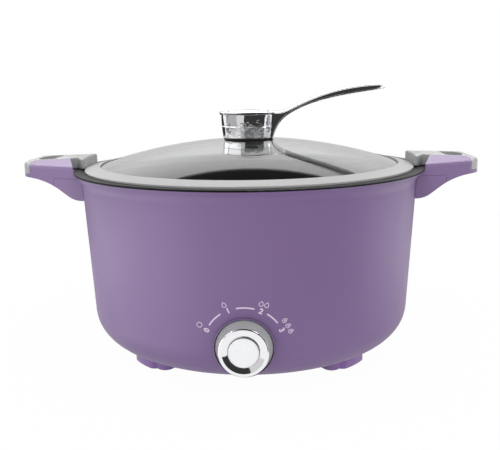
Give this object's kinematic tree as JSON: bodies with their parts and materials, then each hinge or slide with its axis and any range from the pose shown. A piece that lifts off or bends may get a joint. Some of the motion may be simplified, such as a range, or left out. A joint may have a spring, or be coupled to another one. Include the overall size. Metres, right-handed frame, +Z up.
{
  "type": "electric hot pot",
  "caption": "Round electric hot pot with two looped side handles, a front heat dial, moulded feet and a lift-off domed glass lid with a long curved arm on its knob.",
  "frame": {"origin": "on the floor, under the axis of the round housing", "axes": "+Z up along the housing's axis, -Y towards the dial (front), +X towards the right handle and the tip of the lid's arm"},
  "size_m": [0.3874, 0.3021, 0.2256],
  "materials": {
    "housing_paint": "matte, fine grain",
    "handle_plastic": "matte",
    "foot_plastic": "satin",
    "grey_cover": "matte",
    "grey_plastic": "matte",
    "black_plastic": "fine grain",
    "pan_coating": "satin non-stick coating",
    "cast_plate": "cast",
    "element_sheath": "oxidised",
    "bare_steel": "pressed",
    "zinc_steel": "zinc plated",
    "contact_brass": "plain",
    "sleeving": "glass fibre sleeving",
    "dark_rubber": "matte",
    "dial_chrome": "satin plated",
    "dial_white": "gloss",
    "lid_glass": "clear",
    "band_silicone": "satin",
    "knob_chrome": "polished"
  },
  "bodies": {
    "root": {"outer_shell": "housing_paint", "inner_pan": "pan_coating", "heater_plate": "cast_plate", "heating_element": "element_sheath", "heat_shield": "bare_steel", "pan_studs": "zinc_steel", "upper_sleeves": "zinc_steel", "lower_sleeves": "zinc_steel", "support_ring": "bare_steel", "pan_nuts": "zinc_steel", "limit_thermostat": "bare_steel", "thermal_fuse": "sleeving", "base_cover": "black_plastic", "base_screws": "zinc_steel", "foot_front_left": "foot_plastic", "foot_front_right": "foot_plastic", "foot_rear_left": "foot_plastic", "foot_rear_right": "foot_plastic", "foot_pads": "dark_rubber", "foot_screws": "zinc_steel", "dial_bezel": "grey_plastic", "rotary_switch": "black_plastic", "switch_nut": "zinc_steel", "inlet_housing": "black_plastic", "inlet_pins": "contact_brass", "leads": "sleeving", "handle_bracket_right": "handle_plastic", "handle_bracket_left": "handle_plastic", "handle_grip_right": "handle_plastic", "handle_grip_left": "handle_plastic", "handle_cover_right": "grey_cover", "handle_cover_left": "grey_cover", "handle_wall_screws": "zinc_steel", "handle_grip_screws": "zinc_steel"},
    "dial": {"dial_knob": "dial_chrome", "dial_cap": "dial_white", "dial_shaft": "zinc_steel"},
    "lid": {"lid_glass": "lid_glass", "lid_band": "band_silicone", "steam_vent": "bare_steel", "knob_gasket": "dark_rubber", "knob_body": "knob_chrome", "knob_cap": "knob_chrome", "lid_inner_gasket": "dark_rubber", "lid_washer": "bare_steel", "lid_screw": "zinc_steel"}
  },
  "joints": [
    {"name": "lid_lift", "type": "slide", "parent": "root", "child": "lid", "axis": [0, 0, 1], "range_m": [0, 0.12]},
    {"name": "dial_turn", "type": "hinge", "parent": "root", "child": "dial", "pos_m": [0, -0.1, 0.0417], "axis": [0, 1, 0], "range_deg": [0, 130]}
  ]
}
